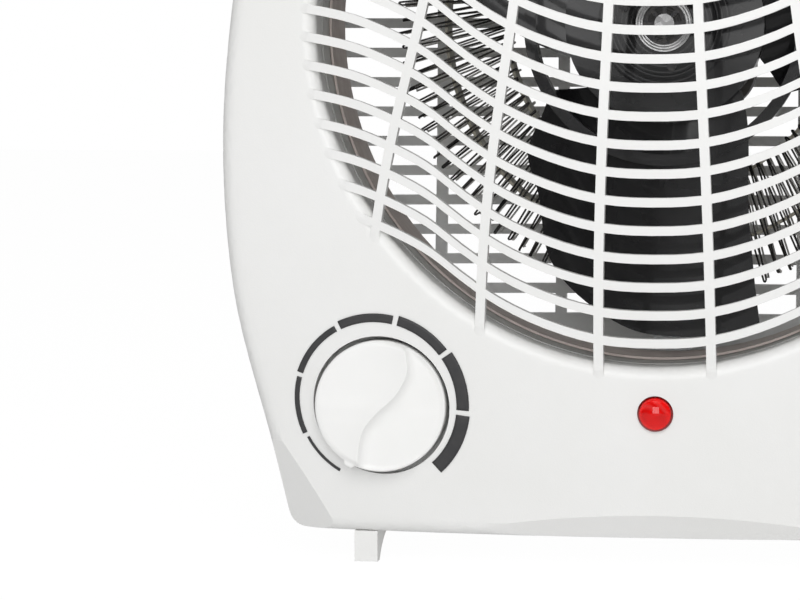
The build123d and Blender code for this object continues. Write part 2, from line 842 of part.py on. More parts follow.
def mica_board(angle):
    """Radial board on a bracket arm, notched from the back over the two hoops."""
    front = element_front - board_proud
    half = mica_sheet / 2
    low, high = fan_height - half, fan_height + half
    board = block(board_inner_radius, board_outer_radius, front, bracket_front, low, high)
    ring_back = element_back - wire_radius - mica_seat
    middle = (element_front + wire_radius + mica_seat + ring_back) / 2
    for radius in (mica_inner_radius, mica_mid_radius):
        inner = radius - mica_sheet - mica_slot_clearance
        outer = radius + mica_slot_clearance
        board -= block(inner, outer, middle, bracket_front + overrun, low - half * 2, high + half * 2)
    return about_axis(board, angle)


def dial(side):
    """Round knob with an S-shaped grip ridge that runs down to its pointer."""
    disc = rod(dial_radius, dial_face, dial_face + dial_thickness, 0, dial_height)
    disc = fillet(disc.edges().sort_by(Axis.Y)[0], dial_edge_round)
    middle = [(dial_radius * across, dial_radius * up) for across, up in ridge_shares]
    knob = disc
    for wide, high in ridge_step_shares:
        band = strip(middle, ridge_width * wide)
        knob += prism(band, dial_face - ridge_height * high, dial_face + dial_edge_round, 0, dial_height)
    socket = spindle_face(spindle_fit)
    knob -= prism(socket, dial_face + wall, dial_face + dial_thickness + overrun, 0, dial_height)
    return Pos(side * dial_place, 0, 0) * knob


def spindle_face(growth=0.0):
    """D-shaped section of a spindle."""
    radius = spindle_radius + growth
    flat = Pos(0, spindle_radius - spindle_flat + growth + radius) * Rectangle(radius * 4, radius * 2)
    return Circle(radius) - flat


def spindle(side):
    front = dial_face + dial_thickness - spindle_bite
    seat = dial_well_floor + wall + switch_seat
    x = side * dial_place
    rear = rod(spindle_radius, seat, seat + switch_depth / 2, x, dial_height)
    return prism(spindle_face(), front, seat, x, dial_height) + rear


def switch_neck(side):
    """Bushing at the front of a switch, with the bore for its spindle."""
    seat = dial_well_floor + wall
    x = side * dial_place
    return rod(switch_neck_radius, seat, seat + switch_seat, x, dial_height)


def spindle_bore(side):
    seat = dial_well_floor + wall
    x = side * dial_place
    radius = spindle_radius + shaft_fit
    return rod(radius, seat - overrun, seat + switch_seat + switch_depth / 2 + shaft_fit, x, dial_height)


def terminals(side, back, count):
    """Flat terminals at the back of a switch."""
    parts = []
    half = tab_sheet / 2
    low, high = dial_height - tab_width / 2, dial_height + tab_width / 2
    for number in range(count):
        x = side * dial_place + tab_spacing * (number - (count - 1) / 2)
        parts.append(block(x - half, x + half, back, back + tab_length, low, high))
    return parts


def thermostat(side):
    seat = dial_well_floor + wall + switch_seat
    body = rod(switch_radius, seat, seat + switch_depth, side * dial_place, dial_height)
    body += switch_neck(side)
    for part in terminals(side, seat + switch_depth, 2):
        body += part
    return body - spindle_bore(side)


def selector(side):
    seat = dial_well_floor + wall + switch_seat
    x = side * dial_place
    half = selector_width / 2
    tall = selector_height / 2
    body = block(x - half, x + half, seat, seat + selector_depth, dial_height - tall, dial_height + tall)
    body += switch_neck(side)
    for part in terminals(side, seat + selector_depth, 3):
        body += part
    return body - spindle_bore(side)


def lamp_lens():
    """Hollow lens: a dome in front of the panel and a flange behind it."""
    front = panel_depth(0, lamp_height)
    seat = front + wall + lamp_flange_sheet
    dome_radius = (lamp_radius ** 2 + lamp_dome_height ** 2) / (2 * lamp_dome_height)
    body = rod(lamp_radius, front - lamp_dome_height, front + lamp_length, 0, lamp_height)
    ball = Pos(0, at(front - lamp_dome_height) + dome_radius, lamp_height) * Sphere(dome_radius)
    body &= ball + rod(lamp_radius, front, front + lamp_length, 0, lamp_height)
    body += rod(lamp_flange_radius, seat + lamp_flange_sheet, seat + lamp_flange_sheet * 2, 0, lamp_height)
    return body - rod(lamp_radius - lamp_wall, front, front + lamp_length + overrun, 0, lamp_height)


def lamp_bulb():
    front = panel_depth(0, lamp_height) + lamp_length - bulb_length
    body = rod(bulb_radius, front, front + bulb_length, 0, lamp_height)
    return fillet(body.edges().sort_by(Axis.Y)[0], bulb_radius * 0.9)


def lamp_holder():
    """Cap behind the lens that holds the bulb."""
    front = panel_depth(0, lamp_height) + lamp_length
    return rod(lamp_radius, front, front + lamp_holder_length, 0, lamp_height)


def radial_piece(shape, angle, radius):
    """Lay a piece that stands on the XY plane against the outside of the duct."""
    x, z = around(radius, angle)
    out = Vector(cos(radians(angle)), 0, sin(radians(angle)))
    middle = (shield_front + shield_back) / 2
    return Plane(origin=(x, at(middle), z), x_dir=(0, 1, 0), z_dir=out) * shape


def thermal_cutout():
    up = (Align.CENTER, Align.CENTER, Align.MIN)
    shape = Cylinder(cutout_radius, cutout_height + cutout_foot, align=up)
    shape += Box(cutout_width, cutout_radius, cutout_foot, align=up)
    return radial_piece(shape, cutout_angle_deg, opening_radius + shield_sheet + cutout_seat)


def thermal_fuse():
    shape = Pos(0, 0, fuse_radius) * Cylinder(fuse_radius, fuse_length).rotate(Axis.Y, 90)
    return radial_piece(shape, fuse_angle_deg, opening_radius + shield_sheet + cutout_seat)


def terminal_block():
    """Row of screw terminals on the floor of the rear housing."""
    floor = foot_height + seam_step + wall
    back = body_depth - block_place
    half = block_width / 2
    body = block(-half, half, back - block_depth, back, floor, floor + block_height)
    for number in range(block_ways):
        x = block_width / block_ways * (number - (block_ways - 1) / 2)
        top = Pos(x, at(back - block_depth / 2), floor + block_height)
        body -= top * Cylinder(block_screw_radius, block_height)
    return body


def gland_wall_back():
    """Depth of the back wall at the gland."""
    drop = fan_height - gland_height
    plan = rear_plan_radius - sqrt(rear_plan_radius ** 2 - gland_place ** 2)
    return body_depth - plan - rear_side_radius + sqrt(rear_side_radius ** 2 - drop ** 2)


def cable_gland():
    """Bushing through the back wall where the cord would enter."""
    x = gland_place
    seat = gland_wall_back()
    body = rod(gland_flange_radius, seat, seat + gland_flange, x, gland_height)
    body += rod(gland_radius, seat - gland_inner_length - wall, seat, x, gland_height)
    return body - rod(gland_bore, body_depth / 2, body_depth + overrun, x, gland_height)


def save(shape, node):
    export_step(shape, f"parts/{node}.step")


housing_seat = front_depth + head_well_depth
os.makedirs("parts", exist_ok=True)
save(front_housing(), "front_housing")
save(rear_housing(), "rear_housing")
save(housing_screws(), "housing_screws")
save(foot(-1), "foot_left")
save(foot(1), "foot_right")
save(duct_shield(), "duct_shield")
save(shield_screws(), "shield_screws")
save(mica_sleeve(), "mica_sleeve")
save(impeller(), "impeller")
save(hub_bushing(), "hub_bushing")
save(star_washer(), "star_washer")
save(hub_rivets(), "hub_rivets")
save(motor_shaft(), "motor_shaft")
save(rotor(), "rotor")
save(end_plate(motor_front), "motor_front_plate")
save(end_plate(rear_plate_front), "motor_rear_plate")
save(bearing(motor_front + end_plate_sheet / 2), "front_bearing")
save(bearing(rear_plate_front + end_plate_sheet / 2), "rear_bearing")
save(bearing_cap(motor_front, 1), "front_bearing_cap")
save(bearing_cap(bracket_front, -1), "rear_bearing_cap")
save(stator_core(), "stator_core")
save(stator_coil(-1), "stator_coil_left")
save(stator_coil(1), "stator_coil_right")
save(motor_spacers(), "motor_spacers")
save(motor_screws(), "motor_screws")
save(motor_bracket(), "motor_bracket")
save(bracket_screws(), "bracket_screws")
for layer, depth in (("front", element_front), ("rear", element_back)):
    for sector in range(len(bracket_arm_angles)):
        save(heating_wire(depth, sector), f"heating_wire_{layer}_{sector + 1}")
save(mica_ring(mica_inner_radius), "mica_inner_ring")
save(mica_ring(mica_mid_radius), "mica_outer_ring")
for number, angle in enumerate(bracket_arm_angles):
    save(mica_board(angle), f"mica_board_{number + 1}")
save(dial(-1), "thermostat_dial")
save(dial(1), "selector_dial")
save(spindle(-1), "thermostat_spindle")
save(spindle(1), "selector_spindle")
save(thermostat(-1), "thermostat_body")
save(selector(1), "selector_switch")
save(lamp_lens(), "lamp_lens")
save(lamp_bulb(), "lamp_bulb")
save(lamp_holder(), "lamp_holder")
save(thermal_cutout(), "thermal_cutout")
save(thermal_fuse(), "thermal_fuse")
save(terminal_block(), "terminal_block")
save(cable_gland(), "cable_gland")
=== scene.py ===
from math import cos, pi, radians, sin, tau
import bpy
import numpy as np
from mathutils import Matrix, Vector


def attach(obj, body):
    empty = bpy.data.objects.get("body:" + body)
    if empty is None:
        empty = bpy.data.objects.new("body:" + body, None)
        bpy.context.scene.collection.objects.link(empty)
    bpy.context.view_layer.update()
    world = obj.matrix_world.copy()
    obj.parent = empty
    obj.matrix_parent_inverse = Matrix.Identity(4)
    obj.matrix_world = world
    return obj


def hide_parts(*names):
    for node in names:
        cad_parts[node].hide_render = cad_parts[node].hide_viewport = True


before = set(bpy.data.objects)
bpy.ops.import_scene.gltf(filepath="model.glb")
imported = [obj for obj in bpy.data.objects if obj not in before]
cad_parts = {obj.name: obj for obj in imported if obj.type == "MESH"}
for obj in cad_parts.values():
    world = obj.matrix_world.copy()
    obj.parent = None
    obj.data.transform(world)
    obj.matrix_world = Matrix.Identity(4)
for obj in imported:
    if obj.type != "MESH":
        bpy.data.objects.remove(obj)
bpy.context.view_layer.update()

# The view: a long lens a metre in front of the heater, a little to the right of its middle and
# turned to the left, so that the left flank and the inside of the left of the opening show.
view_place = (0.070, -1.000, 0.1317)
view_yaw, view_pitch = radians(8.028), radians(-3.726)
lens = bpy.data.cameras.new("view")
lens.lens, lens.sensor_width = 172.1, 36
camera = bpy.data.objects.new("view", lens)
camera.location = view_place
look = Vector((-sin(view_yaw) * cos(view_pitch), cos(view_yaw) * cos(view_pitch), sin(view_pitch)))
camera.rotation_euler = look.to_track_quat("-Z", "Y").to_euler()
bpy.context.scene.collection.objects.link(camera)
bpy.context.scene.camera = camera

# The rear housing: one moulding in white ABS, with ribs across its back for the air to come in.
# Its skin has the fine spark-eroded grain of the mould and a little dust on what faces upwards.


def effect(name, inputs, outputs):
    """An empty group of shader nodes with named inputs and outputs."""
    tree = bpy.data.node_groups.new(name, "ShaderNodeTree")
    for title, value in inputs.items():
        socket = tree.interface.new_socket(title, in_out="INPUT", socket_type="NodeSocketFloat")
        socket.default_value = value
    for title in outputs:
        tree.interface.new_socket(title, in_out="OUTPUT", socket_type="NodeSocketFloat")
    return tree, tree.nodes.new("NodeGroupInput"), tree.nodes.new("NodeGroupOutput")


def step(tree, kind, values, **settings):
    """A node of that kind, its inputs given as numbers or as other nodes' outputs."""
    node = tree.nodes.new(kind)
    for key, value in settings.items():
        setattr(node, key, value)
    for key, value in values.items():
        if isinstance(value, bpy.types.NodeSocket):
            tree.links.new(value, node.inputs[key])
        else:
            node.inputs[key].default_value = value
    return node


def grain_effect():
    """Fine even noise for the skin of a moulding, and broad soft patches where it is smoother."""
    tree, given, out = effect("mould grain", {"Grain": 2600.0, "Patch": 30.0}, ("Height", "Patches"))
    place = step(tree, "ShaderNodeTexCoord", {}).outputs["Object"]
    values = {"Vector": place, "Scale": given.outputs["Grain"], "Detail": 2.0}
    fine = step(tree, "ShaderNodeTexNoise", values)
    values = {"Vector": place, "Scale": given.outputs["Patch"], "Detail": 4.0}
    broad = step(tree, "ShaderNodeTexNoise", values)
    values = {"Value": broad.outputs["Fac"], "From Min": 0.35, "From Max": 0.65}
    spread = step(tree, "ShaderNodeMapRange", values)
    tree.links.new(fine.outputs["Fac"], out.inputs["Height"])
    tree.links.new(spread.outputs["Result"], out.inputs["Patches"])
    return tree


def dust_effect():
    """Dust that lies where the surface faces upwards, broken up by noise."""
    tree, given, out = effect("settled dust", {"Amount": 0.5, "Size": 160.0}, ("Mask",))
    place = step(tree, "ShaderNodeTexCoord", {}).outputs["Object"]
    facing = step(tree, "ShaderNodeNewGeometry", {}).outputs["Normal"]
    parts = step(tree, "ShaderNodeSeparateXYZ", {"Vector": facing})
    values = {"Value": parts.outputs["Z"], "From Min": 0.2, "From Max": 1.0}
    up = step(tree, "ShaderNodeMapRange", values).outputs["Result"]
    values = {"Vector": place, "Scale": given.outputs["Size"], "Detail": 5.0}
    specks = step(tree, "ShaderNodeTexNoise", values)
    values = {"Value": specks.outputs["Fac"], "From Min": 0.35, "From Max": 0.7}
    broken = step(tree, "ShaderNodeMapRange", values).outputs["Result"]
    both = step(tree, "ShaderNodeMath", {0: up, 1: broken}, operation="MULTIPLY")
    values = {0: both.outputs[0], 1: given.outputs["Amount"]}
    shown = step(tree, "ShaderNodeMath", values, operation="MULTIPLY")
    tree.links.new(shown.outputs[0], out.inputs["Mask"])
    return tree


mould_grain, settled_dust = grain_effect(), dust_effect()


def blank(name):
    """A new material with only its Principled shader, its tree and that shader."""
    material = bpy.data.materials.new(name)
    material.use_nodes = True
    tree = material.node_tree
    shader = next(node for node in tree.nodes if node.type == "BSDF_PRINCIPLED")
    return material, tree, shader


def placed(tree, group, **values):
    """One of the shared effects inside a material, with its own values."""
    node = tree.nodes.new("ShaderNodeGroup")
    node.node_tree = group
    for key, value in values.items():
        node.inputs[key].default_value = value
    return node


def mixed(tree, amount, one, other):
    """One colour running over into another by an amount between 0 and 1."""
    values = {"Factor": amount, "A": one, "B": other}
    node = tree.nodes.new("ShaderNodeMix")
    node.data_type = "RGBA"
    for socket in node.inputs:
        if socket.name in values and (socket.type == "RGBA" or socket.identifier == "Factor_Float"):
            value = values[socket.name]
            if isinstance(value, bpy.types.NodeSocket):
                tree.links.new(value, socket)
            else:
                socket.default_value = value
    return next(socket for socket in node.outputs if socket.type == "RGBA")


def ranged(tree, value, low, high):
    """A mask spread over the range from low to high."""
    node = step(tree, "ShaderNodeMapRange", {"Value": value, "To Min": low, "To Max": high})
    return node.outputs["Result"]


def bumped(tree, shader, height, strength, distance):
    """The height as a bump on the shader's normal."""
    bump = step(tree, "ShaderNodeBump", {"Height": height, "Strength": strength, "Distance": distance})
    tree.links.new(bump.outputs["Normal"], shader.inputs["Normal"])


def moulded(name, color, shade, rough, grain, depth, dust=0.25):
    """Moulded plastic: grain in the skin, patches of another gloss and shade, and dust."""
    material, tree, shader = blank(name)
    skin = placed(tree, mould_grain, Grain=grain)
    lying = placed(tree, settled_dust, Amount=dust)
    tone = mixed(tree, skin.outputs["Patches"], color, shade)
    tone = mixed(tree, lying.outputs["Mask"], tone, (0.60, 0.58, 0.54, 1))
    tree.links.new(tone, shader.inputs["Base Color"])
    gloss = ranged(tree, skin.outputs["Patches"], rough - 0.04, rough + 0.05)
    tree.links.new(gloss, shader.inputs["Roughness"])
    bumped(tree, shader, skin.outputs["Height"], depth, 0.00012)
    return material


def fair_faces(limit):
    """A modifier that joins a CAD node's loose triangles and rounds the shading up to an angle."""
    tree = bpy.data.node_groups.new("fair faces", "GeometryNodeTree")
    tree.interface.new_socket("Geometry", in_out="INPUT", socket_type="NodeSocketGeometry")
    tree.interface.new_socket("Geometry", in_out="OUTPUT", socket_type="NodeSocketGeometry")
    given, out = tree.nodes.new("NodeGroupInput"), tree.nodes.new("NodeGroupOutput")
    joined = step(tree, "GeometryNodeMergeByDistance", {"Geometry": given.outputs[0], "Distance": 1e-6})
    rounded = step(tree, "GeometryNodeSetShadeSmooth", {"Geometry": joined.outputs[0], "Shade Smooth": True})
    angle = step(tree, "GeometryNodeInputMeshEdgeAngle", {}).outputs["Unsigned Angle"]
    values = {"A": angle, "B": limit}
    sharp = step(tree, "FunctionNodeCompare", values, data_type="FLOAT", operation="GREATER_THAN")
    values = {"Geometry": rounded.outputs[0], "Selection": sharp.outputs[0], "Shade Smooth": False}
    edged = step(tree, "GeometryNodeSetShadeSmooth", values, domain="EDGE")
    tree.links.new(edged.outputs[0], out.inputs[0])
    return tree


fair = fair_faces(radians(22))


def finish_node(material, *names):
    """Gives CAD nodes their material and evens out their shading."""
    for name in names:
        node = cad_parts[name]
        node.data.materials.clear()
        node.data.materials.append(material)
        node.modifiers.new("fair faces", "NODES").node_group = fair
        evened = node.modifiers.new("even shading", "WEIGHTED_NORMAL")
        evened.keep_sharp = True


white_plastic = moulded(
    "white moulded plastic", (0.86, 0.86, 0.85, 1), (0.84, 0.84, 0.825, 1), 0.42, 2600.0, 0.25
)
finish_node(white_plastic, "rear_housing")

# The feet: two long mouldings in the same white plastic, clipped in grooves under the body. Their
# skin is a little greyer in patches.
foot_plastic = moulded("foot plastic", (0.84, 0.84, 0.83, 1), (0.78, 0.78, 0.765, 1), 0.50, 2000.0, 0.35)
finish_node(foot_plastic, "foot_left", "foot_right")

# The bracket that carries the motor: zinc plated sheet steel, pressed in one piece and held by
# six screws to pillars in the rear housing.


def plating_effect():
    """Spangles of zinc from cells of two sizes, and faint lines along the rolling direction."""
    tree, given, out = effect("zinc plating", {"Spangle": 220.0, "Lines": 900.0}, ("Spangles", "Rolling"))
    place = step(tree, "ShaderNodeTexCoord", {}).outputs["Object"]
    cells = step(tree, "ShaderNodeTexVoronoi", {"Vector": place, "Scale": given.outputs["Spangle"]})
    shade = step(tree, "ShaderNodeSeparateColor", {"Color": cells.outputs["Color"]})
    drawn = step(tree, "ShaderNodeMapping", {"Vector": place, "Scale": (0.04, 1.0, 1.0)})
    values = {"Vector": drawn.outputs[0], "Scale": given.outputs["Lines"], "Detail": 3.0}
    lines = step(tree, "ShaderNodeTexNoise", values)
    tree.links.new(shade.outputs["Red"], out.inputs["Spangles"])
    tree.links.new(lines.outputs["Fac"], out.inputs["Rolling"])
    return tree


zinc_plating = plating_effect()


def plated(name, color, shade, rough, spangle, metal=0.95):
    """Plated steel: spangles change its shade and gloss, rolling lines its relief."""
    material, tree, shader = blank(name)
    skin = placed(tree, zinc_plating, Spangle=spangle)
    lying = placed(tree, settled_dust, Amount=0.35)
    tone = mixed(tree, skin.outputs["Spangles"], color, shade)
    tone = mixed(tree, lying.outputs["Mask"], tone, (0.50, 0.48, 0.45, 1))
    tree.links.new(tone, shader.inputs["Base Color"])
    gloss = ranged(tree, skin.outputs["Spangles"], rough - 0.05, rough + 0.08)
    tree.links.new(gloss, shader.inputs["Roughness"])
    tree.links.new(ranged(tree, lying.outputs["Mask"], metal, 0.1), shader.inputs["Metallic"])
    bumped(tree, shader, skin.outputs["Rolling"], 0.12, 0.0001)
    return material


zinc_steel = plated("zinc plated steel", (0.62, 0.63, 0.64, 1), (0.52, 0.53, 0.54, 1), 0.34, 220.0)
screw_steel = plated("screw steel", (0.66, 0.65, 0.62, 1), (0.58, 0.57, 0.54, 1), 0.28, 900.0)
finish_node(zinc_steel, "motor_bracket")
finish_node(screw_steel, "bracket_screws")

# The motor: a laminated stator core with two enamelled copper coils, a solid rotor, two black
# plates with sintered bearings, and long screws that clamp it all to the bracket.


def layered(name, color, shade, rough, pitch, metal, axis):
    """A pack of thin layers: level bands across one axis, in colour and relief."""
    material, tree, shader = blank(name)
    place = step(tree, "ShaderNodeTexCoord", {}).outputs["Object"]
    values = {"Vector": place, "Scale": pitch, "Distortion": 0.6}
    bands = step(tree, "ShaderNodeTexWave", values, bands_direction=axis)
    specks = placed(tree, mould_grain, Grain=1500.0)
    tone = mixed(tree, bands.outputs["Fac"], color, shade)
    tree.links.new(tone, shader.inputs["Base Color"])
    gloss = ranged(tree, specks.outputs["Height"], rough - 0.1, rough + 0.1)
    tree.links.new(gloss, shader.inputs["Roughness"])
    shader.inputs["Metallic"].default_value = metal
    bumped(tree, shader, bands.outputs["Fac"], 0.6, 0.0002)
    return material


core_steel = layered("core sheets", (0.20, 0.20, 0.21, 1), (0.06, 0.055, 0.05, 1), 0.5, 320.0, 0.8, "Y")
copper_wire = layered("enamelled copper", (0.55, 0.22, 0.08, 1), (0.22, 0.07, 0.02, 1), 0.3, 420.0, 0.85, "X")
black_steel = moulded(
    "black painted steel", (0.030, 0.030, 0.032, 1), (0.045, 0.044, 0.044, 1), 0.36, 1200.0, 0.3, 0.3
)
sintered_bronze = plated("sintered bronze", (0.50, 0.33, 0.14, 1), (0.36, 0.23, 0.10, 1), 0.5, 1800.0)
ground_steel = plated("ground steel", (0.30, 0.30, 0.30, 1), (0.22, 0.22, 0.22, 1), 0.26, 500.0)
finish_node(core_steel, "stator_core", "rotor")
finish_node(copper_wire, "stator_coil_left", "stator_coil_right")
finish_node(black_steel, "motor_front_plate", "motor_rear_plate")
finish_node(sintered_bronze, "front_bearing", "rear_bearing")
finish_node(zinc_steel, "front_bearing_cap", "rear_bearing_cap", "motor_spacers")
finish_node(screw_steel, "motor_screws")
finish_node(ground_steel, "motor_shaft")

# Three boards and two hoops of pressed mica carry the heating wires. The sheet is olive grey,
# flaky and a little glossy.


def flaky(name, color, shade, rough):
    """Pressed mica: overlapping flakes in two shades with their own gloss."""
    material, tree, shader = blank(name)
    place = step(tree, "ShaderNodeTexCoord", {}).outputs["Object"]
    flakes = step(tree, "ShaderNodeTexVoronoi", {"Vector": place, "Scale": 260.0})
    cloud = step(tree, "ShaderNodeTexNoise", {"Vector": place, "Scale": 90.0, "Detail": 5.0})
    values = {0: flakes.outputs["Distance"], 1: cloud.outputs["Fac"]}
    both = step(tree, "ShaderNodeMath", values, operation="MULTIPLY")
    tree.links.new(mixed(tree, both.outputs[0], color, shade), shader.inputs["Base Color"])
    gloss = ranged(tree, flakes.outputs["Distance"], rough - 0.1, rough + 0.15)
    tree.links.new(gloss, shader.inputs["Roughness"])
    bumped(tree, shader, both.outputs[0], 0.4, 0.0002)
    return material


mica_sheet = flaky("pressed mica", (0.36, 0.34, 0.27, 1), (0.20, 0.18, 0.14, 1), 0.38)
finish_node(mica_sheet, "mica_board_1", "mica_board_2", "mica_board_3", "mica_inner_ring", "mica_outer_ring")

# The heating wires: bare resistance wire, bent to a close zigzag and laid in two layers between
# the boards. The front layer is nearly black from the heat. The rear one is painted pale grey, which is
# painted light lifting it out of the shade it lies in behind the front layer.
fan_height = 0.1387
crown_y = -0.059
wire_thick = 0.00026
wire_inner, wire_outer = 0.0428, 0.0710
wire_layers = {"front": 0.0620, "rear": 0.0730}
legs_per_sector = 74
tip_share, tip_bulge = 0.38, 0.6
leg_slant, slant_turn = radians(6.5), radians(165)
turn_uneven, reach_uneven, depth_uneven = 0.16, 0.0006, 0.0007
board_angles, board_gap = (30.0, 150.0, 270.0), 3.0


def lay_surface(name, grids, wrap=False, caps=False, poles=False, closed=True):
    """Surfaces over grids of points, rows along the first index and columns along the second.

    Columns close on themselves with wrap, caps fill the first and last row with a flat face, and
    with poles these rows are single points with triangles round them. A closed surface whose
    volume, added up over its faces, comes out negative is turned over.
    """
    spots, faces, start = [], [], 0
    for points in grids:
        rows, columns = points.shape[:2]
        order = start + np.arange(rows * columns).reshape(rows, columns)
        ring = np.concatenate([order, order[:, :1]], axis=1) if wrap else order
        body = ring[1:-1] if poles else ring
        quads = np.stack([body[:-1, :-1], body[:-1, 1:], body[1:, 1:], body[1:, :-1]], axis=-1)
        faces += quads.reshape(-1, 4).tolist()
        if poles:
            tip, tail = np.full(columns, order[0, 0]), np.full(columns, order[-1, 0])
            faces += np.stack([tip, ring[1, 1:], ring[1, :-1]], axis=-1).tolist()
            faces += np.stack([tail, ring[-2, :-1], ring[-2, 1:]], axis=-1).tolist()
        if caps:
            faces += [order[0].tolist(), order[-1].tolist()[::-1]]
        spots.append(points.reshape(-1, 3))
        start += rows * columns
    mesh = bpy.data.meshes.new(name)
    mesh.from_pydata(np.concatenate(spots).tolist(), [], faces)
    mesh.validate()
    mesh.polygons.foreach_set("use_smooth", np.ones(len(mesh.polygons), bool))
    if closed:
        centre, normal, area = (np.zeros(len(mesh.polygons) * size) for size in (3, 3, 1))
        mesh.polygons.foreach_get("center", centre)
        mesh.polygons.foreach_get("normal", normal)
        mesh.polygons.foreach_get("area", area)
        middle = np.concatenate(spots).mean(axis=0)
        if ((centre.reshape(-1, 3) - middle) * normal.reshape(-1, 3)).sum(axis=1) @ area < 0:
            mesh.flip_normals()
    piece = bpy.data.objects.new(name, mesh)
    bpy.context.scene.collection.objects.link(piece)
    return piece


def settle(piece, material, body):
    """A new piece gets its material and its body."""
    piece.data.materials.append(material)
    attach(piece, body)


def hairpins(start, stop, legs, depth, phase):
    """Path of one bent wire: a zigzag of nearly radial legs that run together in narrow half rings.

    The legs lean the more the nearer they are to the sides of the heater, and they are a little
    uneven in turn, reach and depth.
    """
    number = np.arange(legs)
    turn = np.radians(np.linspace(start, stop, legs))
    pitch = turn[1] - turn[0]
    slant = leg_slant * np.cos(turn - slant_turn) / 2
    uneven = turn_uneven * pitch * np.sin(7.3 * number + phase)
    near = wire_inner + reach_uneven * np.sin(3.7 * number + 2 * phase)
    far = wire_outer + reach_uneven * np.sin(4.9 * number + phase)
    deep = crown_y + depth + depth_uneven * np.sin(5.1 * number + phase)
    outward = number % 2 == 0
    path = []
    for leg in number:
        ends = [(near[leg], turn[leg] - slant[leg]), (far[leg], turn[leg] + slant[leg])]
        for (reach, angle), lean in zip(ends if outward[leg] else ends[::-1], (-tip_share, tip_share)):
            path.append((reach, angle + uneven[leg] + lean * pitch, deep[leg]))
        if leg + 1 < legs:
            reach, angle, level = path[-1]
            side = 1 if outward[leg] else -1
            left = pitch * (1 - 2 * tip_share)
            for share in (0.15, 0.5, 0.85):
                swing = side * tip_bulge * left * reach * sin(pi * share)
                path.append((reach + swing, angle + left * (1 - cos(pi * share)) / 2, level))
    reach, angle, level = np.array(path).T
    return np.stack([reach * np.cos(angle), level, fan_height + reach * np.sin(angle)], axis=1)


def tube_along(path, radius, sides):
    """Rings round a path that stays near one upright plane.

    Each ring is spanned by the plane's normal and the direction square to the run of the path.
    """
    run = np.gradient(path, axis=0)
    run /= np.linalg.norm(run, axis=1)[:, None]
    out = np.array([0.0, 1.0, 0.0])
    aside = np.cross(run, out)
    aside /= np.linalg.norm(aside, axis=1)[:, None]
    turn = np.linspace(0, tau, sides, endpoint=False)[None, :, None]
    return path[:, None] + radius * (np.cos(turn) * aside[:, None] + np.sin(turn) * out)


def heated_wire(name, dark, pale, metal):
    """Oxidised resistance wire, with patches that still shine."""
    material, tree, shader = blank(name)
    skin = placed(tree, mould_grain, Grain=900.0, Patch=140.0)
    tree.links.new(mixed(tree, skin.outputs["Patches"], dark, pale), shader.inputs["Base Color"])
    tree.links.new(ranged(tree, skin.outputs["Patches"], 0.60, 0.35), shader.inputs["Roughness"])
    shader.inputs["Metallic"].default_value = metal
    bumped(tree, shader, skin.outputs["Height"], 0.3, 0.0001)
    return material


wire_finishes = {
    "front": heated_wire("burnt wire", (0.020, 0.020, 0.020, 1), (0.09, 0.085, 0.08, 1), 0.6),
    # The rear layer's pale colours are painted light, standing in for the rear wires being lit though they
    # lie in shade.
    "rear": heated_wire("rear wire painted pale", (0.50, 0.50, 0.48, 1), (0.82, 0.81, 0.78, 1), 0.15),
}
for number, (layer, depth) in enumerate(wire_layers.items()):
    runs = []
    for angle in board_angles:
        start, stop = angle + board_gap, angle + 120 - board_gap
        path = hairpins(start, stop, legs_per_sector, depth, number + angle)
        runs.append(tube_along(path, wire_thick, 6))
    wires = lay_surface("heating_wires_" + layer, runs, wrap=True, caps=True)
    settle(wires, wire_finishes[layer], "housing")
    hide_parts(*[f"heating_wire_{layer}_{sector}" for sector in (1, 2, 3)])

# The impeller: three broad paddles and a hub in one pressing, sprayed glossy black. A bright
# bushing carries it on the shaft, a toothed washer holds it, and three rivets join the hub.


def ring_effect():
    """Distance from the fan axis, and rings round it that end at the edge of the hub."""
    tree, given, out = effect("rings round the axis", {"Pitch": 0.0024, "Edge": 0.0165}, ("Reach", "Rings"))
    place = step(tree, "ShaderNodeTexCoord", {}).outputs["Object"]
    level = step(tree, "ShaderNodeVectorMath", {0: place, 1: (0.0, 0.0, -fan_height)})
    flat = step(tree, "ShaderNodeVectorMath", {0: level.outputs[0], 1: (1.0, 0.0, 1.0)}, operation="MULTIPLY")
    reach = step(tree, "ShaderNodeVectorMath", {0: flat.outputs[0]}, operation="LENGTH").outputs["Value"]
    turns = step(tree, "ShaderNodeMath", {0: reach, 1: given.outputs["Pitch"]}, operation="DIVIDE")
    angle = step(tree, "ShaderNodeMath", {0: turns.outputs[0], 1: tau}, operation="MULTIPLY")
    wave = step(tree, "ShaderNodeMath", {0: angle.outputs[0]}, operation="SINE")
    inside = step(tree, "ShaderNodeMath", {0: reach, 1: given.outputs["Edge"]}, operation="LESS_THAN")
    rings = step(tree, "ShaderNodeMath", {0: wave.outputs[0], 1: inside.outputs[0]}, operation="MULTIPLY")
    tree.links.new(reach, out.inputs["Reach"])
    tree.links.new(rings.outputs[0], out.inputs["Rings"])
    return tree


axis_rings = ring_effect()
bore_reach = 0.0054


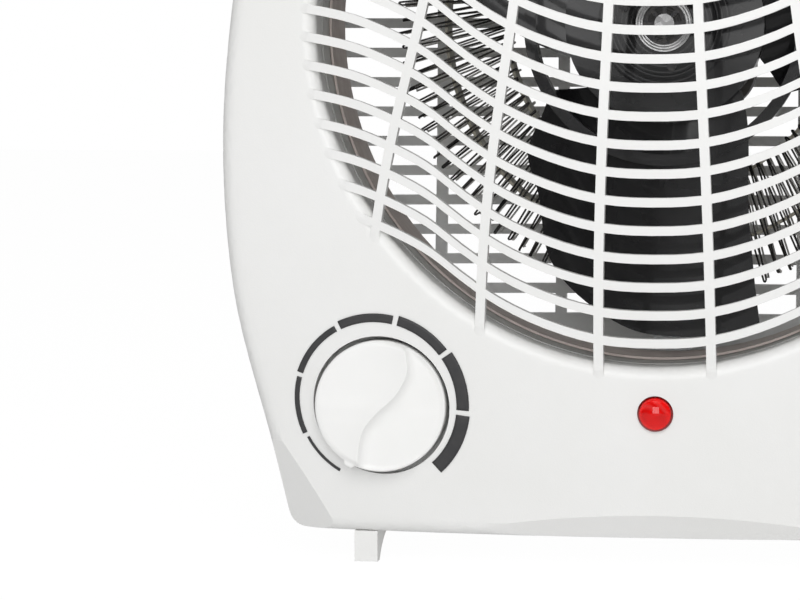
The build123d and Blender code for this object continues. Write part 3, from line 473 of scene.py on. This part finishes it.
def sprayed_black():
    """Glossy black coat, with pressed rings round the hub, finger marks and a little lint."""
    material, tree, shader = blank("glossy black coat")
    pressed = placed(tree, axis_rings, Pitch=0.0026, Edge=0.0170)
    skin = placed(tree, mould_grain, Grain=420.0, Patch=55.0)
    lying = placed(tree, settled_dust, Amount=0.10, Size=420.0)
    tone = mixed(tree, skin.outputs["Patches"], (0.006, 0.006, 0.007, 1), (0.011, 0.011, 0.012, 1))
    tone = mixed(tree, lying.outputs["Mask"], tone, (0.16, 0.15, 0.14, 1))
    tree.links.new(tone, shader.inputs["Base Color"])
    tree.links.new(ranged(tree, skin.outputs["Patches"], 0.20, 0.30), shader.inputs["Roughness"])
    shader.inputs["Specular IOR Level"].default_value = 0.25
    shader.inputs["Coat Weight"].default_value = 0.35
    shader.inputs["Coat Roughness"].default_value = 0.06
    uneven = step(tree, "ShaderNodeMath", {0: skin.outputs["Height"], 1: 0.2}, operation="MULTIPLY")
    relief = step(tree, "ShaderNodeMath", {0: pressed.outputs["Rings"], 1: uneven.outputs[0]})
    bumped(tree, shader, relief.outputs[0], 0.5, 0.0004)
    return material


def bored(name, color, dark, rough):
    """Turned bright metal with fine rings round the fan axis, painted near black and dull in its bore as
    painted shade for the inside of the hole.
    """
    material, tree, shader = blank(name)
    turned = placed(tree, axis_rings, Pitch=0.0007, Edge=0.02)
    # Inside the bore the colour runs over to the given near black: painted shade for the hole.
    values = {"Value": turned.outputs["Reach"], "From Min": bore_reach, "From Max": bore_reach - 0.0003}
    inside = step(tree, "ShaderNodeMapRange", values)
    skin = placed(tree, zinc_plating, Spangle=700.0)
    tone = mixed(tree, skin.outputs["Spangles"], color, (0.22, 0.22, 0.22, 1))
    tree.links.new(mixed(tree, inside.outputs["Result"], tone, dark), shader.inputs["Base Color"])
    tree.links.new(ranged(tree, inside.outputs["Result"], 0.95, 0.0), shader.inputs["Metallic"])
    tree.links.new(ranged(tree, inside.outputs["Result"], rough, 0.5), shader.inputs["Roughness"])
    bumped(tree, shader, turned.outputs["Rings"], 0.25, 0.0001)
    return material


black_coat = sprayed_black()
blued_steel = plated("blued steel", (0.030, 0.030, 0.032, 1), (0.060, 0.058, 0.056, 1), 0.32, 1400.0)
# The last colour, near black, is painted shade for the inside of the bore.
bright_metal = bored("polished bushing", (0.30, 0.30, 0.30, 1), (0.012, 0.011, 0.010, 1), 0.22)
finish_node(black_coat, "impeller")
finish_node(bright_metal, "hub_bushing")
finish_node(blued_steel, "star_washer", "hub_rivets")

# The duct behind the collar: a sleeve of plated steel screwed to three pillars, lined at its
# rear with a thin sheet of mica that keeps the heat off it. Two cut-outs stand on its outside.
lining_mica = flaky("duct lining", (0.64, 0.56, 0.52, 1), (0.52, 0.45, 0.42, 1), 0.5)
duct_steel = plated("duct steel", (0.74, 0.74, 0.72, 1), (0.64, 0.64, 0.62, 1), 0.50, 160.0, 0.25)
finish_node(duct_steel, "duct_shield")
finish_node(screw_steel, "shield_screws")
finish_node(lining_mica, "mica_sleeve")
finish_node(zinc_steel, "thermal_cutout", "thermal_fuse")

# The front housing: the largest moulding, with the grille in one piece with it. Just past the rim
# of the opening the ends of the bars and ribs fade into the panel.
finish_node(white_plastic, "front_housing")
opening_radius, lip_round = 0.086, 0.003
panel_plan, panel_side, panel_setback = 0.440, 0.470, 0.003
grille_plan, grille_side = 0.340, 0.360
lowest_bar, bar_pitch, bar_width, bar_drop, bar_half_span = 0.0588, 0.00709, 0.0023, 0.033, 0.083
bar_wave = (
    (0.0, 0.0), (0.151, 0.022), (0.301, 0.117), (0.452, 0.281), (0.602, 0.532), (0.678, 0.678),
    (0.753, 0.784), (0.828, 0.869), (0.904, 0.941), (1.0, 1.0), (1.12, 1.05), (1.30, 1.11),
)
rib_width, rib_places = 0.0024, (0.0112, 0.0353, 0.0588)
rib_spread = ((-1.2, 1.27), (-1.0, 1.26), (-0.6, 1.20), (-0.3, 1.11), (0.0, 1.0), (0.5, 0.87), (1.2, 0.74))
skin_start, bar_stop, skin_end = 0.0866, 0.0880, 0.0909
skin_proud, skin_sunk, skin_lead = 0.00003, 0.0004, 0.0004


def smooth_through(knots, values, places):
    """Natural cubic spline: bends solved for at the knots, then the cubic in each span."""
    knots, values = np.asarray(knots, float), np.asarray(values, float)
    width = np.diff(knots)
    rise = np.diff(values) / width
    count = len(knots)
    system, target, inner = np.eye(count), np.zeros(count), np.arange(1, count - 1)
    system[inner, inner - 1], system[inner, inner + 1] = width[:-1], width[1:]
    system[inner, inner] = 2 * (width[:-1] + width[1:])
    target[1:-1] = 6 * np.diff(rise)
    bend = np.linalg.solve(system, target)
    span = np.clip(np.searchsorted(knots, places) - 1, 0, count - 2)
    along = places - knots[span]
    slope = rise[span] - width[span] * (2 * bend[span] + bend[span + 1]) / 6
    twist = (bend[span + 1] - bend[span]) / (6 * width[span])
    return values[span] + along * (slope + along * (bend[span] / 2 + along * twist))


def crown(x, z, plan_radius, side_radius):
    """Depth of a crowned sheet behind its foremost point: an arc in plan, and upwards an arc of
    what the first has left of the second radius."""
    plan = plan_radius - np.sqrt(plan_radius ** 2 - x ** 2)
    side = side_radius - plan
    return plan + side - np.sqrt(side ** 2 - (z - fan_height) ** 2)


def panel_y(x, z):
    """The front panel, a little behind the foremost point of the grille."""
    return crown_y + panel_setback + crown(x, z, panel_plan, panel_side)


def bar_y(x, z):
    """The front of the grille: the same kind of crown as the panel, bulging a little more."""
    return crown_y + crown(x, z, grille_plan, grille_side)


def bar_line(middle, x):
    """Height of one bar over the width of the grille: the same wave, moved up or down."""
    shares, rises = np.array(bar_wave).T
    return middle + bar_drop * smooth_through(shares, rises, np.abs(x) / bar_half_span)


def faded_end(x, z, width):
    """Skin over the last stretch of a bar or rib, which goes on beyond it and sinks into the panel.

    Across, it is a flat strip up to where the bar stops, and then runs over into a soft wave. Its
    height over the panel falls off along an even curve with the distance from the fan axis. The
    panel itself dips at the rim of the opening by the quarter round of the lip.
    """
    from_axis = np.hypot(x, z - fan_height)
    run = np.flatnonzero((from_axis > skin_start) & (from_axis < skin_end))
    if len(run) < 8:
        return None
    chosen = run[np.linspace(0, len(run) - 1, 31).astype(int)]
    heading = np.stack([np.gradient(x), np.gradient(z)], axis=1)[chosen]
    heading /= np.linalg.norm(heading, axis=1)[:, None]
    far = from_axis[chosen][:, None]
    past = np.clip((far - bar_stop) / (skin_end - bar_stop), 0, 1)
    lead = np.clip((far - skin_start) / skin_lead, 0, 1)
    wide = np.array([1, 0.985, 0.97, 0.85, 0.6, 0.3, 0, -0.3, -0.6, -0.85, -0.97, -0.985, -1, -0.8, 0, 0.8])
    half = width / 2 * (1.03 + 0.35 * past)
    spot_x = x[chosen][:, None] - heading[:, 1:] * wide * half
    spot_z = z[chosen][:, None] + heading[:, :1] * wide * half
    rim = opening_radius + lip_round
    inward = np.clip(rim - np.hypot(spot_x, spot_z - fan_height), 0, lip_round)
    ground = panel_y(spot_x, spot_z) + lip_round - np.sqrt(lip_round ** 2 - inward ** 2)
    soft = np.clip(2 * past, 0, 1)
    high = (1 - soft) * np.clip((1 - np.abs(wide)) / 0.03, 0, 1) + soft * (1 - wide ** 2) ** 2
    rise = (ground - bar_y(spot_x, spot_z) + skin_proud) * (1 - past) ** 2 * (1 + 2 * past) * high
    rise -= 0.0001 * (1 - lead) + 0.00008 * past
    rise[:, 13:] = -skin_sunk
    return np.stack([spot_x, ground - rise, spot_z], axis=-1)


along = np.linspace(0.03, 0.110, 3201)
ends = []
for row in range(int((fan_height + opening_radius - lowest_bar) / bar_pitch) + 1):
    level = bar_line(lowest_bar + bar_pitch * row, along)
    ends += [faded_end(side * along, level, bar_width) for side in (-1, 1)]
upward = np.linspace(0, 0.100, 3201)
rib_ups, rib_outs = np.array(rib_spread).T
for place in rib_places:
    for rise in (-1, 1):
        lean = place * smooth_through(rib_ups, rib_outs, rise * upward / opening_radius)
        ends += [faded_end(side * lean, fan_height + rise * upward, rib_width) for side in (-1, 1)]
bar_ends = lay_surface("bar_ends", [end for end in ends if end is not None], wrap=True, caps=True)
bar_ends.modifiers.new("fair faces", "NODES").node_group = fair
settle(bar_ends, white_plastic, "housing")

# The scales: dark grey ink printed on the panel round both dials. The thermostat has seven bars
# that grow thicker clockwise, and the selector a short mark and then one, two and three strokes.


def printed_ink():
    """Thin screen printed ink: even, slightly mottled and less glossy than the plastic."""
    material, tree, shader = blank("printed ink")
    skin = placed(tree, mould_grain, Grain=3000.0, Patch=400.0)
    tone = mixed(tree, skin.outputs["Patches"], (0.034, 0.034, 0.036, 1), (0.044, 0.043, 0.044, 1))
    tree.links.new(tone, shader.inputs["Base Color"])
    tree.links.new(ranged(tree, skin.outputs["Patches"], 0.5, 0.62), shader.inputs["Roughness"])
    bumped(tree, shader, skin.outputs["Height"], 0.15, 0.00005)
    return material


def printed_band(centre, inner, outer, start, stop):
    """Part of a ring laid on the panel: angle along the rows, radius across, just proud of it."""
    turn = np.radians(np.linspace(start, stop, max(int(abs(stop - start) / 1.5), 8)))[:, None]
    reach = np.linspace(inner, outer, 5)[None, :]
    x, z = centre[0] + reach * np.cos(turn), centre[1] + reach * np.sin(turn)
    return np.stack([x, panel_y(x, z) - ink_proud, z], axis=-1)


ink_proud, ink_sheet = 0.00006, 0.0002
dial_place, dial_height = 0.0703, 0.0416
scale_centre, scale_inner = (-dial_place - 0.0009, dial_height + 0.0009), 0.0207
scale_bars = (
    (239.9, 207.2, 0.00070), (203.9, 163.7, 0.00128), (160.4, 119.2, 0.0016), (115.6, 77.8, 0.0022),
    (74.2, 37.2, 0.00255), (34.1, -4.1, 0.0032), (-7.6, -47.9, 0.0035),
)
marks = [
    printed_band(scale_centre, scale_inner, scale_inner + ink, start, stop)
    for start, stop, ink in scale_bars
]
other_centre, stroke_inner, stroke_pitch = (dial_place, dial_height), 0.0202, 5.2
stroke_places = (
    (225.0, 1, 0.0010, 12.0), (180.0, 1, 0.0024, 2.6), (135.0, 2, 0.0024, 2.6), (90.0, 3, 0.0024, 2.6),
)
other_marks = []
for place, strokes, tall, wide in stroke_places:
    for stroke in range(strokes):
        middle = place + (stroke - (strokes - 1) / 2) * stroke_pitch
        start, stop = middle + wide / 2, middle - wide / 2
        other_marks.append(printed_band(other_centre, stroke_inner, stroke_inner + tall, start, stop))
printed = printed_ink()
for name, bands in (("thermostat_scale", marks), ("selector_scale", other_marks)):
    scale = lay_surface(name, bands, closed=False)
    backing = scale.modifiers.new("ink thickness", "SOLIDIFY")
    backing.thickness, backing.offset = ink_sheet, -1
    settle(scale, printed, "housing")

# The two dials: turned by hand, moulded in a whiter and smoother plastic. A fold in the shape of
# an S parts a raised half of the face from a lower one and ends in the pointer at the rim.
dial_radius, dial_face, dial_thick, dial_edge = 0.01680, 0.0170, 0.0086, 0.0006
fold = (
    (-1.10, -0.36), (-0.89, -0.34), (-0.64, -0.32), (-0.48, -0.29), (-0.33, -0.23), (-0.20, -0.13),
    (-0.07, -0.01), (0.04, 0.12), (0.15, 0.23), (0.32, 0.34), (0.47, 0.41), (0.65, 0.42),
    (0.86, 0.38), (1.10, 0.33),
)
fold_rise, fold_fall, fold_width = 0.0012, 0.0011, 0.0013
left_slope, right_slope, rim_fade = 0.0055, 0.0060, 0.0016
pointer_turn, pointer_wide = radians(241.5), radians(4.6)
pointer_reach, pointer_deep, back_edge = 0.0010, 0.0025, 0.0004


def fold_relief(x, z):
    """Height of a dial's face by the distance from the S, fading to the rim.

    It climbs slowly from the left to the crest, drops steeply to the right of it, and comes back.
    """
    up, across = np.array(fold).T
    middle = dial_radius * smooth_through(up, across, np.clip(z / dial_radius, -1.05, 1.05))
    beside = dial_radius * smooth_through(up, across, np.clip(z / dial_radius + 0.01, -1.05, 1.05))
    off = (x - middle) / np.hypot(1, (beside - middle) / (0.01 * dial_radius))
    left = fold_rise * np.exp(np.minimum(off, 0) / left_slope)
    drop = (fold_rise + fold_fall) * np.exp(-np.maximum(off, 0) / fold_width)
    right = drop - fold_fall * np.exp(-np.maximum(off, 0) / right_slope)
    rim = np.clip((dial_radius - np.hypot(x, z)) / rim_fade, 0, 1)
    return np.where(off < 0, left, right) * rim ** 2 * (3 - 2 * rim)


def dial_surface(side):
    """A dial turned round its axis: face, rounded edge, side and back, with both poles closed.

    The radius grows a little at the pointer, and the face is raised by the relief of the fold.
    """
    turn = np.linspace(0, tau, 360, endpoint=False)
    face = np.linspace(0, dial_radius - dial_edge, 84)
    round_off = np.linspace(0, pi / 2, 7)[1:]
    edge = dial_radius - dial_edge + dial_edge * np.sin(round_off)
    reach = np.concatenate([face, edge, [dial_radius, dial_radius - back_edge, 0.0]])
    behind = [dial_thick - back_edge, dial_thick, dial_thick]
    depth = np.concatenate([np.zeros(len(face)), dial_edge * (1 - np.cos(round_off)), behind])
    nose = np.exp(-(((turn - pointer_turn) / pointer_wide) ** 8)) * pointer_reach
    share = np.clip((reach / dial_radius - 0.9) / 0.1, 0, 1)[:, None]
    near_face = (depth < pointer_deep)[:, None]
    spread = reach[:, None] + nose[None, :] * share * near_face
    x, z = spread * np.cos(turn), spread * np.sin(turn)
    relief = np.where((depth == 0)[:, None], fold_relief(x, z), 0.0)
    y = crown_y + dial_face + depth[:, None] - relief
    return np.stack([x + side * dial_place, y + 0 * x, z + dial_height], axis=-1)


dial_plastic = moulded(
    "dial plastic", (0.88, 0.88, 0.87, 1), (0.86, 0.86, 0.845, 1), 0.34, 3200.0, 0.12, 0.12
)
for name, side in (("thermostat", -1), ("selector", 1)):
    dial = lay_surface(name + "_knob", [dial_surface(side)], wrap=True, poles=True)
    settle(dial, dial_plastic, name + "_knob")
    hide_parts(name + "_dial")

# Behind the dials: turned brass spindles, a round thermostat and a boxy switch with flat
# terminals, all in black thermoset.
turned_brass = plated("turned brass", (0.70, 0.50, 0.22, 1), (0.60, 0.42, 0.18, 1), 0.25, 900.0)
thermoset = moulded(
    "black thermoset", (0.035, 0.035, 0.037, 1), (0.050, 0.048, 0.046, 1), 0.42, 1500.0, 0.3, 0.3
)
finish_node(turned_brass, "thermostat_spindle", "selector_spindle")
finish_node(thermoset, "thermostat_body", "selector_switch", "terminal_block", "lamp_holder")

# The pilot lamp: a hollow lens of clear red plastic that is pushed in from behind, with a small
# neon bulb in it. The dome is smooth and picks up the lights as small bright spots.


def red_lens():
    """Clear red plastic, a little deeper in places, smooth but for a trace of orange peel."""
    material, tree, shader = blank("clear red plastic")
    skin = placed(tree, mould_grain, Grain=380.0, Patch=260.0)
    tone = mixed(tree, skin.outputs["Patches"], (0.74, 0.006, 0.004, 1), (0.60, 0.004, 0.003, 1))
    tree.links.new(tone, shader.inputs["Base Color"])
    tree.links.new(ranged(tree, skin.outputs["Patches"], 0.05, 0.10), shader.inputs["Roughness"])
    shader.inputs["Transmission Weight"].default_value = 0.75
    shader.inputs["Specular IOR Level"].default_value = 0.25
    shader.inputs["IOR"].default_value = 1.49
    bumped(tree, shader, skin.outputs["Height"], 0.04, 0.0002)
    return material


def neon_bulb():
    """Thin clear glass over a warm glow in the gas."""
    material, tree, shader = blank("neon bulb")
    skin = placed(tree, mould_grain, Grain=600.0, Patch=500.0)
    tone = mixed(tree, skin.outputs["Patches"], (0.95, 0.30, 0.12, 1), (0.95, 0.42, 0.20, 1))
    tree.links.new(tone, shader.inputs["Base Color"])
    tree.links.new(ranged(tree, skin.outputs["Patches"], 0.05, 0.15), shader.inputs["Roughness"])
    shader.inputs["Transmission Weight"].default_value = 0.4
    shader.inputs["Emission Color"].default_value = (1.0, 0.16, 0.05, 1)
    shader.inputs["Emission Strength"].default_value = 0.8
    return material


finish_node(red_lens(), "lamp_lens")
finish_node(neon_bulb(), "lamp_bulb")

# At the back: the screws that hold the two housings together, sunk in round wells, and the grey
# bushing in the hole for the cord.
bushing_plastic = moulded(
    "bushing plastic", (0.30, 0.30, 0.30, 1), (0.26, 0.26, 0.26, 1), 0.48, 1800.0, 0.3, 0.3
)
finish_node(screw_steel, "housing_screws")
finish_node(bushing_plastic, "cable_gland")

# The studio: a white floor with a very faint shadow, and two soft lights from the front and above.
# The world is white to the eye, gives less light from the sides and above than from the front and
# back, and in mirrors shows bright fields with darker ones between.


def seen_directly(tree):
    """1 for a ray from the eye, or one that a clear surface has sent on."""
    path = step(tree, "ShaderNodeLightPath", {})
    values = {0: path.outputs["Is Camera Ray"], 1: path.outputs["Is Transmission Ray"]}
    return step(tree, "ShaderNodeMath", values, operation="MAXIMUM").outputs[0]


def pale_floor():
    """White paint, lit so evenly that its shadow is hardly seen."""
    material, tree, shader = blank("pale floor")
    grain = placed(tree, mould_grain, Grain=700.0, Patch=9.0)
    tone = mixed(tree, grain.outputs["Patches"], (0.93, 0.93, 0.93, 1), (0.91, 0.91, 0.91, 1))
    tree.links.new(tone, shader.inputs["Base Color"])
    shader.inputs["Roughness"].default_value = 0.7
    shown = ranged(tree, seen_directly(tree), 0.60, 0.92)
    strength = ranged(tree, seen_directly(tree), 0.62, 1.04)
    bright = step(tree, "ShaderNodeEmission", {"Color": (1, 1, 1, 1), "Strength": strength})
    both = step(tree, "ShaderNodeMixShader", {0: shown})
    tree.links.new(shader.outputs[0], both.inputs[1])
    tree.links.new(bright.outputs[0], both.inputs[2])
    ending = next(node for node in tree.nodes if node.type == "OUTPUT_MATERIAL")
    tree.links.new(both.outputs[0], ending.inputs["Surface"])
    return material


floor_x, floor_y = np.meshgrid(np.linspace(-4, 4, 3), np.linspace(-4, 4, 3))
floor = lay_surface("floor", [np.stack([floor_x, floor_y, 0 * floor_x], axis=-1)], closed=False)
floor.data.materials.append(pale_floor())

world = bpy.data.worlds.new("studio")
bpy.context.scene.world = world
world.use_nodes = True
sky = world.node_tree
air = next(node for node in sky.nodes if node.type == "BACKGROUND")
air.inputs["Color"].default_value = (1, 1, 1, 1)
way = step(sky, "ShaderNodeSeparateXYZ", {"Vector": step(sky, "ShaderNodeTexCoord", {}).outputs["Generated"]})
above = step(sky, "ShaderNodeMath", {0: way.outputs["Z"], 1: way.outputs["Z"]}, operation="MULTIPLY")
above = step(sky, "ShaderNodeMath", {0: above.outputs[0], 1: 0.6}, operation="MULTIPLY")
values = {0: way.outputs["X"], 1: way.outputs["X"], 2: above.outputs[0]}
aside = step(sky, "ShaderNodeMath", values, operation="MULTIPLY_ADD")
values = {"Value": aside.outputs[0], "To Min": 0.82, "To Max": 0.08}
even = step(sky, "ShaderNodeMapRange", values)
fields = step(sky, "ShaderNodeTexWave", {"Scale": 0.55, "Distortion": 1.5}, bands_direction="DIAGONAL")
mirrored = ranged(sky, fields.outputs["Fac"], 0.10, 1.0)
path = step(sky, "ShaderNodeLightPath", {})
for amount, value in ((path.outputs["Is Glossy Ray"], mirrored), (seen_directly(sky), 1.0)):
    even = step(sky, "ShaderNodeMix", {0: amount, 2: even.outputs[0], 3: value}, data_type="FLOAT")
sky.links.new(even.outputs[0], air.inputs["Strength"])

soft_lights = {
    "key": ((0.10, -1.60, 0.65), (0.0, 0.0, 0.13), 1.10, 14.3),
    "top": ((0.10, -0.20, 1.60), (0.0, 0.0, 0.20), 1.20, 3.0),
}
for name, (spot, aim, size, power) in soft_lights.items():
    light = bpy.data.lights.new(name, "AREA")
    light.shape, light.size, light.energy = "SQUARE", size, power
    holder = bpy.data.objects.new(name, light)
    holder.location = spot
    holder.rotation_euler = (Vector(aim) - Vector(spot)).to_track_quat("-Z", "Y").to_euler()
    bpy.context.scene.collection.objects.link(holder)

bpy.context.scene.view_settings.view_transform = "Standard"
